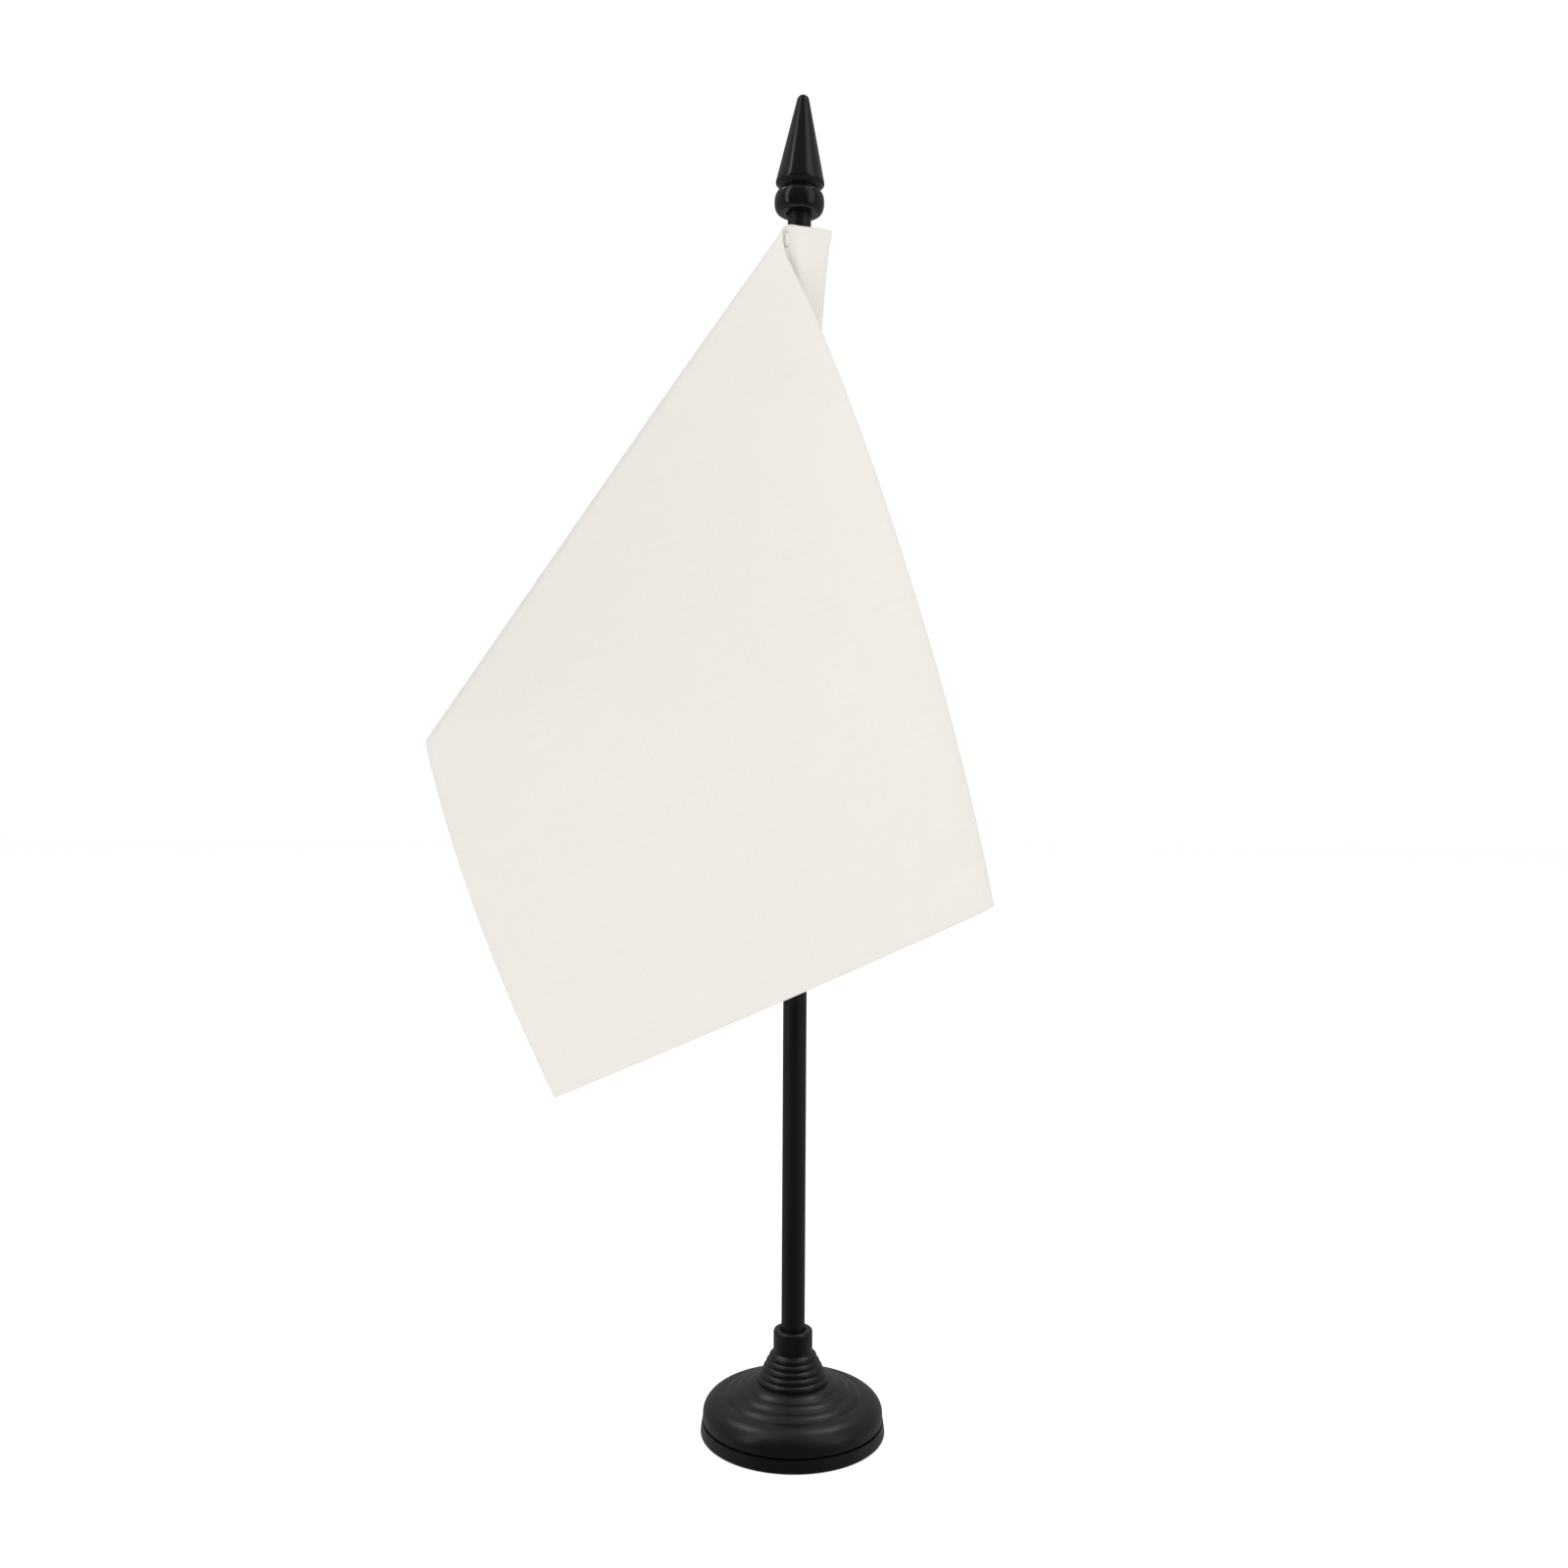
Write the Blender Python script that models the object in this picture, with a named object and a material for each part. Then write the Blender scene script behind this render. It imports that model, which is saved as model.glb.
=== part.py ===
"""Desk flag stand: a turned plastic base with a weight inside, a rod, a finial, and a cloth flag.

Every piece is one object. Lengths are in metres, +Z is up, and the origin is the middle of the base's
underside, on the axis of the rod.
"""

import math

import bpy
import numpy as np
from mathutils import Matrix

MM = 0.001
GAP = 0.3 * MM  # left between any two pieces that touch on the real object
SEGMENTS = 40  # sides of a large turned piece
FINE_SEGMENTS = 24  # sides of a slim turned piece

# Base plate: the cover that closes the base from below.
PLATE_RADIUS = 25.3 * MM
PLATE_HEIGHT = 3.6 * MM
PLATE_FLOOR = 1.6 * MM
PLATE_TAPER = 0.4 * MM
PLATE_EDGE = 0.8 * MM
LOCATING_RING = (21.0 * MM, 22.2 * MM)  # inner and outer radius of the ring that centres the shell
LOCATING_RING_TOP = 5.0 * MM

# Base shell: the moulded dome with its ridged neck, collar and socket for the rod.
SHELL_BOTTOM = PLATE_HEIGHT + GAP
SHELL_FOOT_RADIUS = 24.2 * MM
SHELL_RADIUS = 24.7 * MM
SHELL_WALL = 1.7 * MM
SHOULDER = (18.8 * MM, 10.4 * MM)  # radius and height where the shoulder starts
SHOULDER_END = 5.8 * MM  # height where the shoulder turns into the upright rim
BROAD_STEPS = 3
BROAD_STEP_DEPTH = 0.3 * MM
NECK_BOTTOM = (9.7 * MM, 14.3 * MM)
NECK_TOP = (5.7 * MM, 22.0 * MM)
NECK_RIDGES = 5
NECK_RIDGE_DEPTH = 0.4 * MM
COLLAR_RADIUS = 5.4 * MM
COLLAR_TOP = 28.4 * MM
COLLAR_LIP = 0.8 * MM  # radius of the rounded outer lip
COLLAR_FILLET = 0.2 * MM  # height of the bevel where the collar rises from the neck
MOUTH_CHAMFER = 0.25 * MM
BOSS_BOTTOM = 3.8 * MM
SOCKET_FLOOR = 6.0 * MM

# Ballast: the steel ring that keeps the stand upright.
BALLAST_RADII = (7.5 * MM, 19.5 * MM)
BALLAST_THICKNESS = 3.2 * MM
BALLAST_CHAMFER = 0.4 * MM

# Rod.
POLE_RADIUS = 3.25 * MM
POLE_BOTTOM = SOCKET_FLOOR + GAP
POLE_TOP = 344.0 * MM
POLE_CHAMFER = 0.4 * MM
SOCKET_RADIUS = POLE_RADIUS + GAP

# Finial: a bead, a groove and a slim cone, bored to fit over the rod.
FINIAL_BOTTOM = 335.4 * MM
BEAD_RADIUS = 6.9 * MM
BEAD_MIDDLE = 338.6 * MM
BEAD_SQUARENESS = 0.42  # 1 is an ellipse, and less is closer to a barrel
GROOVE = (5.4 * MM, 342.3 * MM)
CONE_RADIUS = 6.75 * MM
CONE_FOOT = 344.0 * MM
CONE_CORNER = 0.7 * MM  # radius of the cone's rounded foot
TIP_RADIUS = 1.75 * MM
TIP_TOP = 368.4 * MM
FINIAL_LEAN = math.radians(1.8)  # to the right: its bore has play on the rod

# Flag: a sheet sewn round the rod, which falls to the left, folds over and returns in front of the rod.
FLAG_HEIGHT = 140.0 * MM  # hoist, along the rod
FLAG_LENGTH = 200.0 * MM  # fly, from the seam to the free edge
FLAG_TOP = 332.0 * MM
CLOTH = 0.4 * MM
SEAM_TOP = (-4.3 * MM, 0.4 * MM)  # where the seam starts, across and along the view
SEAM_LEAN = math.radians(1.9)  # the flag's weight draws the seam away from the rod
BACK_SWING = math.radians(2.0)  # the back layer turns this far behind the rod
FOLD_SLOPE = math.radians(33.3)  # of the fold from the vertical
FOLD_START = 1.6 * MM  # along the top edge
FOLD_HALF_WIDTH = 6.0 * MM
FOLD_TURN = math.radians(164.0)  # within the tight fold
FRONT_TURN = (math.radians(34.5), math.radians(43.5))  # spread over the front, in the top and bottom rows
ROW_SWAY_TOP = (math.radians(-0.5), math.radians(-9.5))  # lean of the top row after the fold, and at the fly
ROW_SWAY_BOTTOM = (math.radians(-5.0), math.radians(2.0))
PANEL_ROWS = 13
PANEL_SPLIT = (4, 10, 10)  # columns in the back layer, in the tight fold, and in the front layer
ROW_SAMPLES = 401  # steps along a row when its path is added up

# Sleeve: the loop of cloth that the rod passes through.
SLEEVE_SLACK_RIGHT = (8.9 * MM, 4.6 * MM)  # reach to the right at the top, and far down
SLEEVE_SLACK_FADE = 38.0 * MM
SLEEVE_TIP = 0.7 * MM
SLEEVE_POINTS = 28
SLEEVE_ROWS = 9

# Thread of the seam.
THREAD_RADIUS = 0.2 * MM
THREAD_OUT = 1.6 * MM  # in front of the seam, in the notch between the sleeve and the panel
STITCH = 4.0 * MM
STITCH_RISE = 0.1 * MM


def clear_scene():
    for obj in list(bpy.data.objects):
        bpy.data.objects.remove(obj, do_unlink=True)


def material(name, colour, roughness, metallic=0.0):
    made = bpy.data.materials.new(name)
    made.use_nodes = True
    shader = made.node_tree.nodes["Principled BSDF"]
    shader.inputs["Base Color"].default_value = (*colour, 1.0)
    shader.inputs["Roughness"].default_value = roughness
    shader.inputs["Metallic"].default_value = metallic
    return made


def add_object(name, points, faces, finish, parent=None):
    """One object from points in world space; its origin is its parent's, which lies on its joint's axis."""
    mesh = bpy.data.meshes.new(name)
    mesh.from_pydata([tuple(point) for point in points], [], faces)
    mesh.materials.append(finish)
    mesh.shade_smooth()
    mesh.set_sharp_from_angle(angle=math.radians(35))
    obj = bpy.data.objects.new(name, mesh)
    bpy.context.scene.collection.objects.link(obj)
    obj.parent = parent
    return obj


def arc(centre, radius, start, end, steps):
    """(r, z) points of a circular arc, with both ends; angles in degrees from +r towards +z."""
    angles = np.radians(np.linspace(start, end, steps + 1))
    return [(centre[0] + radius * math.cos(a), centre[1] + radius * math.sin(a)) for a in angles]


def rippled(start, end, waves, depth, steps):
    """(r, z) points from start to end, with rounded ridges that stand proud of the straight line."""
    along = np.array(end) - np.array(start)
    outward = np.array([abs(along[1]), abs(along[0])]) / np.hypot(*along)
    points = []
    for i in range(waves * steps + 1):
        t = i / (waves * steps)
        height = depth * abs(math.sin(math.pi * waves * t))
        points.append(tuple(np.array(start) + along * t + outward * height))
    return points


def turned(name, profile, segments, finish, parent=None):
    """A solid of revolution about Z. The profile runs up its outer side and, if it is bored, down the bore."""
    rings = []
    points = []
    for r, z in profile:
        count = segments if r > 0 else 1
        rings.append(range(len(points), len(points) + count))
        turns = (2 * math.pi * k / segments for k in range(count))
        points += [(r * math.cos(a), r * math.sin(a), z) for a in turns]
    closed = profile[0][0] > 0
    pairs = list(zip(rings, rings[1:] + rings[:1])) if closed else list(zip(rings, rings[1:]))
    faces = []
    for low, high in pairs:
        for k in range(segments):
            ends = (low[k % len(low)], low[(k + 1) % len(low)], high[(k + 1) % len(high)], high[k % len(high)])
            faces.append(tuple(dict.fromkeys(ends)))
    return add_object(name, points, faces, finish, parent)


def base_plate(finish):
    inner, outer = LOCATING_RING
    profile = [(0.0, 0.0)]
    profile += arc((PLATE_RADIUS - PLATE_EDGE, PLATE_EDGE), PLATE_EDGE, -90, 0, 3)
    profile += [
        (PLATE_RADIUS - PLATE_TAPER, PLATE_HEIGHT),
        (outer, PLATE_HEIGHT),
        (outer, LOCATING_RING_TOP),
        (inner, LOCATING_RING_TOP),
        (inner, PLATE_FLOOR),
        (0.0, PLATE_FLOOR),
    ]
    return turned("base_plate", profile, SEGMENTS, finish)


def shell_outside():
    """(r, z) points of the shell's visible side, from its foot up to the collar's lip."""
    rim = [
        (SHELL_FOOT_RADIUS, SHELL_BOTTOM),
        (SHELL_RADIUS, SHELL_BOTTOM + (SHELL_RADIUS - SHELL_FOOT_RADIUS)),
    ]
    width = SHELL_RADIUS - SHOULDER[0]
    height = SHOULDER[1] - SHOULDER_END
    shoulder = []
    for angle in np.radians(np.linspace(0, 90, 9)):
        shoulder.append((SHOULDER[0] + width * math.cos(angle), SHOULDER_END + height * math.sin(angle)))
    steps = rippled(SHOULDER, NECK_BOTTOM, BROAD_STEPS, BROAD_STEP_DEPTH, 4)
    ridges = rippled(NECK_BOTTOM, NECK_TOP, NECK_RIDGES, NECK_RIDGE_DEPTH, 4)
    collar = [(COLLAR_RADIUS, NECK_TOP[1] + COLLAR_FILLET)]
    collar += arc((COLLAR_RADIUS - COLLAR_LIP, COLLAR_TOP - COLLAR_LIP), COLLAR_LIP, 0, 90, 4)
    return rim + shoulder + steps[1:] + ridges[1:] + collar


def base_shell(finish):
    """The dome, hollow from below, with a closed socket that hangs in its middle."""
    wall = SHELL_WALL
    inside = [
        (0.0, BOSS_BOTTOM),
        (COLLAR_RADIUS, BOSS_BOTTOM),
        (COLLAR_RADIUS, NECK_BOTTOM[1] - wall),
        (NECK_BOTTOM[0], NECK_BOTTOM[1] - 2 * wall),
        (SHOULDER[0], SHOULDER[1] - wall),
        (SHELL_RADIUS - 1.6 * wall, SHOULDER_END + wall),
        (SHELL_RADIUS - wall, SHOULDER_END),
        (SHELL_RADIUS - wall, SHELL_BOTTOM),
    ]
    socket = [
        (SOCKET_RADIUS + MOUTH_CHAMFER, COLLAR_TOP),
        (SOCKET_RADIUS, COLLAR_TOP - MOUTH_CHAMFER),
        (SOCKET_RADIUS, SOCKET_FLOOR),
        (0.0, SOCKET_FLOOR),
    ]
    return turned("base_shell", inside + shell_outside() + socket, SEGMENTS, finish)


def ballast_disc(finish):
    inner, outer = BALLAST_RADII
    bottom = PLATE_FLOOR + GAP
    top = bottom + BALLAST_THICKNESS
    chamfer = BALLAST_CHAMFER
    profile = [
        (inner, bottom),
        (outer - chamfer, bottom),
        (outer, bottom + chamfer),
        (outer, top - chamfer),
        (outer - chamfer, top),
        (inner, top),
    ]
    return turned("ballast_disc", profile, SEGMENTS, finish)


def pole(finish, parent):
    profile = [
        (0.0, POLE_BOTTOM),
        (POLE_RADIUS - POLE_CHAMFER, POLE_BOTTOM),
        (POLE_RADIUS, POLE_BOTTOM + POLE_CHAMFER),
        (POLE_RADIUS, POLE_TOP - POLE_CHAMFER),
        (POLE_RADIUS - POLE_CHAMFER, POLE_TOP),
        (0.0, POLE_TOP),
    ]
    return turned("pole", profile, FINE_SEGMENTS, finish, parent)


def finial(finish, parent):
    """The bore runs down from its closed end, so the profile starts inside and ends at the tip."""
    bead = []
    half = BEAD_MIDDLE - FINIAL_BOTTOM
    for angle in np.radians(np.linspace(-90, 65, 9)):
        reach = SOCKET_RADIUS + (BEAD_RADIUS - SOCKET_RADIUS) * math.cos(angle) ** BEAD_SQUARENESS
        bead.append((reach, BEAD_MIDDLE + half * math.sin(angle)))
    cone_foot = arc((CONE_RADIUS - CONE_CORNER, CONE_FOOT), CONE_CORNER, -60, 10, 3)
    tip = arc((0.0, TIP_TOP - TIP_RADIUS), TIP_RADIUS, 12, 90, 4)
    profile = [
        (0.0, POLE_TOP + GAP),
        (SOCKET_RADIUS, POLE_TOP + GAP),
        (SOCKET_RADIUS, FINIAL_BOTTOM),
    ]
    profile += bead[1:] + [GROOVE] + cone_foot + tip[:-1] + [(0.0, TIP_TOP)]
    spike = turned("finial", profile, FINE_SEGMENTS, finish, parent)
    middle_of_bore = Matrix.Translation((0.0, 0.0, (FINIAL_BOTTOM + POLE_TOP) / 2))
    spike.data.transform(middle_of_bore @ Matrix.Rotation(FINIAL_LEAN, 4, "Y") @ middle_of_bore.inverted())
    return spike


def smooth_step(t):
    t = np.clip(t, 0.0, 1.0)
    return t * t * (3.0 - 2.0 * t)


def flag_surface(rows, split):
    """Points of the hung cloth, as an array of rows x columns x 3.

    A row starts at the seam and keeps its length. It runs left behind the rod, turns about the slanted
    fold, and comes back down in front. The rows below it meet the fold further out.
    """
    down = np.linspace(0.0, FLAG_HEIGHT, rows)[:, None]
    ends = np.linspace(0.0, FLAG_LENGTH, ROW_SAMPLES)
    step = ends[1] - ends[0]
    along = (ends[:-1] + ends[1:])[None, :] / 2
    to_fold = FOLD_START + math.tan(FOLD_SLOPE) * down
    past = (along - to_fold) * math.cos(FOLD_SLOPE)
    tight = smooth_step((past + FOLD_HALF_WIDTH) / (2 * FOLD_HALF_WIDTH))
    widest = FLAG_LENGTH * math.cos(FOLD_SLOPE) - FOLD_HALF_WIDTH
    front = np.clip((past - FOLD_HALF_WIDTH) / widest, 0.0, 1.0)
    lower = down / FLAG_HEIGHT
    front_turn = FRONT_TURN[0] + (FRONT_TURN[1] - FRONT_TURN[0]) * lower
    turn = (FOLD_TURN * tight + front_turn * front)[..., None]

    start = np.array([-math.cos(BACK_SWING), math.sin(BACK_SWING), 0.0])
    fold = math.sin(FOLD_SLOPE) * start - math.cos(FOLD_SLOPE) * np.array([0.0, 0.0, 1.0])
    across = np.cross(start, fold)
    heading = start * np.cos(turn) + across * np.sin(turn) + fold * (fold @ start) * (1 - np.cos(turn))

    share = np.clip((along - to_fold) / (FLAG_LENGTH - to_fold), 0.0, 1.0)
    first = ROW_SWAY_TOP[0] * (1 - lower) + ROW_SWAY_BOTTOM[0] * lower
    last = ROW_SWAY_TOP[1] * (1 - lower) + ROW_SWAY_BOTTOM[1] * lower
    sway = (first * (1 - share) + last * share) * tight
    x = heading[..., 0] * np.cos(sway) - heading[..., 2] * np.sin(sway)
    z = heading[..., 0] * np.sin(sway) + heading[..., 2] * np.cos(sway)
    heading = np.stack([x, heading[..., 1], z], axis=-1)

    path = np.zeros((rows, ROW_SAMPLES, 3))
    path[:, 1:] = np.cumsum(heading * step, axis=1)
    path[..., 0] += SEAM_TOP[0] - math.sin(SEAM_LEAN) * down
    path[..., 1] += SEAM_TOP[1]
    path[..., 2] += FLAG_TOP - math.cos(SEAM_LEAN) * down
    return np.array([
        [[np.interp(s, ends, path[row, :, k]) for k in range(3)] for s in stations(to_fold[row, 0], split)]
        for row in range(rows)
    ])


def stations(to_fold, split):
    """Distances along a row, set so that the fold falls in the same columns of every row."""
    half = FOLD_HALF_WIDTH / math.cos(FOLD_SLOPE)
    fold_in = max(to_fold - half, FOLD_START)
    fold_out = to_fold + half
    back = np.linspace(0.0, fold_in, split[0], endpoint=False)
    fold = np.linspace(fold_in, fold_out, split[1], endpoint=False)
    front = np.linspace(fold_out, FLAG_LENGTH, split[2] + 1)
    return np.concatenate([back, fold, front])


def thickened(surface, thickness):
    """Points and faces of a sheet of even thickness with the surface in its middle."""
    rows, columns = surface.shape[:2]
    normals = np.cross(np.gradient(surface, axis=1), np.gradient(surface, axis=0))
    normals /= np.linalg.norm(normals, axis=-1, keepdims=True)
    sides = np.stack([surface + normals * thickness / 2, surface - normals * thickness / 2])
    index = np.arange(2 * rows * columns).reshape(2, rows, columns)
    faces = []
    for r in range(rows - 1):
        for c in range(columns - 1):
            faces.append((index[0, r, c], index[0, r, c + 1], index[0, r + 1, c + 1], index[0, r + 1, c]))
            faces.append((index[1, r, c], index[1, r + 1, c], index[1, r + 1, c + 1], index[1, r, c + 1]))
    rim = [(0, c) for c in range(columns - 1)]
    rim += [(r, columns - 1) for r in range(rows - 1)]
    rim += [(rows - 1, c) for c in range(columns - 1, 0, -1)]
    rim += [(r, 0) for r in range(rows - 1, 0, -1)]
    for (r, c), (nr, nc) in zip(rim, rim[1:] + rim[:1]):
        faces.append((index[0, r, c], index[1, r, c], index[1, nr, nc], index[0, nr, nc]))
    faces = [tuple(int(i) for i in face) for face in faces]
    return sides.reshape(-1, 3), faces


def flag_panel(finish, parent):
    points, faces = thickened(flag_surface(PANEL_ROWS, PANEL_SPLIT), CLOTH)
    return add_object("flag_panel", points, faces, finish, parent)


def belt(circles, count):
    """Evenly spaced (x, y) points of the belt that wraps circles (x, radius) whose centres lie on y = 0.

    The first point is the leftmost one, and they run towards +y.
    """
    angles = np.linspace(math.pi, -math.pi, 361)
    reach = np.array([x * np.cos(angles) + r for x, r in circles])
    chosen = np.array(circles)[reach.argmax(axis=0)]
    outline = np.column_stack([
        chosen[:, 0] + chosen[:, 1] * np.cos(angles),
        chosen[:, 1] * np.sin(angles),
    ])
    lengths = np.concatenate([[0.0], np.cumsum(np.linalg.norm(np.diff(outline, axis=0), axis=1))])
    wanted = np.linspace(0.0, lengths[-1], count, endpoint=False)
    return np.column_stack([np.interp(wanted, lengths, outline[:, k]) for k in range(2)])


def flag_sleeve(finish, parent):
    """A loop of cloth round the rod; its slack stands to the right at the top and to the left lower down."""
    loops = []
    for down in np.linspace(0.0, FLAG_HEIGHT, SLEEVE_ROWS):
        left = SEAM_TOP[0] + GAP - math.sin(SEAM_LEAN) * down
        fade = math.exp(-down / SLEEVE_SLACK_FADE)
        right = SLEEVE_SLACK_RIGHT[1] + (SLEEVE_SLACK_RIGHT[0] - SLEEVE_SLACK_RIGHT[1]) * fade
        for inset in (0.0, CLOTH):
            circles = [
                (left + SLEEVE_TIP, SLEEVE_TIP - inset),
                (0.0, POLE_RADIUS + GAP + CLOTH - inset),
                (right - SLEEVE_TIP, SLEEVE_TIP - inset),
            ]
            outline = belt(circles, SLEEVE_POINTS)
            z = FLAG_TOP - math.cos(SEAM_LEAN) * down
            loops.append([(x, y, z) for x, y in outline])
    n = SLEEVE_POINTS
    points = [point for loop in loops for point in loop]
    outer = [2 * r * n for r in range(SLEEVE_ROWS)]
    inner = [(2 * r + 1) * n for r in range(SLEEVE_ROWS)]
    faces = []
    for k in range(n):
        m = (k + 1) % n
        for r in range(SLEEVE_ROWS - 1):
            faces.append((outer[r] + k, outer[r] + m, outer[r + 1] + m, outer[r + 1] + k))
            faces.append((inner[r] + k, inner[r + 1] + k, inner[r + 1] + m, inner[r] + m))
        faces.append((outer[0] + k, inner[0] + k, inner[0] + m, outer[0] + m))
        faces.append((outer[-1] + k, outer[-1] + m, inner[-1] + m, inner[-1] + k))
    return add_object("flag_sleeve", points, faces, finish, parent)


def seam_thread(finish, parent):
    """One line of stitches along the front of the seam, as a wavy round thread."""
    line = []
    count = 2 * int(FLAG_HEIGHT / STITCH) - 1
    for k in range(count + 1):
        down = STITCH / 2 * (k + 0.5)
        rise = STITCH_RISE if k % 2 else 0.0
        line.append((
            SEAM_TOP[0] - math.sin(SEAM_LEAN) * down,
            SEAM_TOP[1] - THREAD_OUT - rise,
            FLAG_TOP - math.cos(SEAM_LEAN) * down,
        ))
    curve = bpy.data.curves.new("seam_thread", "CURVE")
    curve.dimensions = "3D"
    curve.bevel_depth = THREAD_RADIUS
    curve.bevel_resolution = 0
    curve.use_fill_caps = True
    curve.materials.append(finish)
    spline = curve.splines.new("POLY")
    spline.points.add(len(line) - 1)
    for point, place in zip(spline.points, line):
        point.co = (*place, 1.0)
    obj = bpy.data.objects.new("seam_thread", curve)
    bpy.context.scene.collection.objects.link(obj)
    obj.parent = parent
    return obj


def axis_empty(name, parent=None):
    """An empty on the rod's axis, which the pieces of one moving body hang from."""
    empty = bpy.data.objects.new(name, None)
    bpy.context.scene.collection.objects.link(empty)
    empty.parent = parent
    return empty


def build():
    clear_scene()
    moulded = material("black_moulded_plastic", (0.016, 0.016, 0.017), 0.42)
    rod_finish = material("black_rod_plastic", (0.014, 0.014, 0.015), 0.5)
    glossy = material("black_gloss_plastic", (0.014, 0.013, 0.013), 0.25)
    steel = material("ballast_steel", (0.42, 0.42, 0.43), 0.45, 1.0)
    cloth = material("flag_cloth", (0.83, 0.82, 0.77), 0.85)
    thread = material("seam_thread", (0.80, 0.79, 0.74), 0.7)

    base_plate(moulded)
    base_shell(moulded)
    ballast_disc(steel)
    pole_axis = axis_empty("pole_axis")
    pole(rod_finish, pole_axis)
    finial(glossy, axis_empty("finial_axis", pole_axis))
    flag_axis = axis_empty("flag_axis", pole_axis)
    flag_panel(cloth, flag_axis)
    flag_sleeve(cloth, flag_axis)
    seam_thread(thread, flag_axis)


build()
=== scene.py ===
"""Looks of a desk flag stand: fine meshes, materials, stage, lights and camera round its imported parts.

Lengths are in metres and +Z is up. The rod stands on the Z axis. The flag hangs from the rod, falls to the
left behind it, folds over and comes back in front.
"""

import math

import bpy
import numpy as np
from mathutils import Matrix, Vector


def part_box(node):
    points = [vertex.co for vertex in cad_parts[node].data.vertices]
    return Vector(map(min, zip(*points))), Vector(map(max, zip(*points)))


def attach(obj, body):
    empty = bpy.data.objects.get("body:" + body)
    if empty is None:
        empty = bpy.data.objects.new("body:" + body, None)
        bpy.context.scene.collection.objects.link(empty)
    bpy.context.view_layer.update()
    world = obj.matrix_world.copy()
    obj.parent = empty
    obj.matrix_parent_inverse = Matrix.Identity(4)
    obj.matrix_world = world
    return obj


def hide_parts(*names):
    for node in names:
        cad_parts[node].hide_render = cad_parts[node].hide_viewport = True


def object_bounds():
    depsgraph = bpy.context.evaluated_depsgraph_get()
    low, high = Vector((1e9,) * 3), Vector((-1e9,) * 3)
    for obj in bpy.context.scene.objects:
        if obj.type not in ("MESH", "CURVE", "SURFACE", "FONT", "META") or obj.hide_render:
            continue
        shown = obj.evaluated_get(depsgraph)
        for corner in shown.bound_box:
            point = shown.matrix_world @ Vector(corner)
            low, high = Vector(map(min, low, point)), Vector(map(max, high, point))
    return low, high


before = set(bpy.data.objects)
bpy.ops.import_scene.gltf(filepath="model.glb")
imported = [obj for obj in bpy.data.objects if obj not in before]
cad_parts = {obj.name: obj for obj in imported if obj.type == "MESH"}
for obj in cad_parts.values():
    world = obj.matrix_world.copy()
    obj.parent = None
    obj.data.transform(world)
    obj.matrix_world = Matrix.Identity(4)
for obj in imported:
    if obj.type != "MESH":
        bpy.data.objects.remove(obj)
cad_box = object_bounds()

MM = 0.001
GAP = 0.3 * MM  # between two pieces that touch on the real object

# Turned pieces.
BASE_SEGMENTS = 160
SLIM_SEGMENTS = 96  # of the rod and the finial
ARC_STEPS = 10
RIPPLE_STEPS = 14
SHOULDER_STEPS = 24
BEAD_STEPS = 27
CONE_STEPS = 12
ROD_STEPS = 24
SHARP_ANGLE = math.radians(35)  # edges that turn more than this stay sharp
PLATE_EDGE = 0.8 * MM
PLATE_TAPER = 0.4 * MM
PLATE_FLOOR = 1.6 * MM
LOCATING_RING = (21.0 * MM, 22.2 * MM)  # inner and outer radius
PLATE_HEIGHT = 3.6 * MM
SHELL_FOOT_RADIUS = 24.2 * MM
SHELL_WALL = 1.7 * MM
SHOULDER = (18.8 * MM, 10.4 * MM)  # radius and height of its upper end
SHOULDER_END = 5.8 * MM  # height of its lower end
BROAD_STEPS = 3
BROAD_STEP_DEPTH = 0.3 * MM
NECK_BOTTOM = (9.7 * MM, 14.3 * MM)  # radius and height
NECK_TOP = (5.7 * MM, 22.0 * MM)  # radius and height
NECK_RIDGES = 5
NECK_RIDGE_DEPTH = 0.4 * MM
COLLAR_RADIUS = 5.4 * MM
COLLAR_LIP = 0.8 * MM
MOUTH_CHAMFER = 0.25 * MM
SOCKET_FLOOR = 6.0 * MM
DOME_GAP = 0.06 * MM  # the hairline left between the dome and the cover under it
POLE_CHAMFER = 0.4 * MM
BEAD_RADIUS = 6.9 * MM
BEAD_MIDDLE = 338.6 * MM
BEAD_SQUARENESS = 0.42  # 1 is an ellipse, and less is closer to a barrel
GROOVE = (5.4 * MM, 342.3 * MM)  # radius and height
CONE_RADIUS = 6.75 * MM
CONE_FOOT = 344.0 * MM
CONE_CORNER = 0.7 * MM
TIP_RADIUS = 1.75 * MM
TIP_TOP = 368.4 * MM
FINIAL_BOTTOM = 335.4 * MM
FINIAL_LEAN = math.radians(1.8)  # to the right: its bore has play on the rod

# Flag: the drape of the cloth.
FLAG_HEIGHT = 140.0 * MM
FLAG_LENGTH = 200.0 * MM
CLOTH = 0.2 * MM
SEAM_TOP = (-2.8 * MM, -2.4 * MM)  # x and y
TOP_SAG = 0.45 * MM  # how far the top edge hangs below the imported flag's
SEAM_LEAN = math.radians(1.9)
BACK_SWING = math.radians(2.0)
FOLD_SLOPE = math.radians(33.3)
FOLD_START = 2.1 * MM  # from the seam to the fold, along the top row
FOLD_HALF_WIDTH = 6.0 * MM
FOLD_TURN = math.radians(164.0)
FRONT_TURN = (math.radians(34.5), math.radians(43.5))  # past the fold, in the top row and in the bottom one
ROW_SWAY_TOP = (math.radians(-1.0), math.radians(-9.6))  # of the top row, at the fold and at the fly
ROW_SWAY_BOTTOM = (math.radians(-5.0), math.radians(2.0))  # of the bottom row, at the same two places
TOP_FLATNESS = 0.34  # the sewn top holds the layers this much closer than they hang lower down
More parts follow.
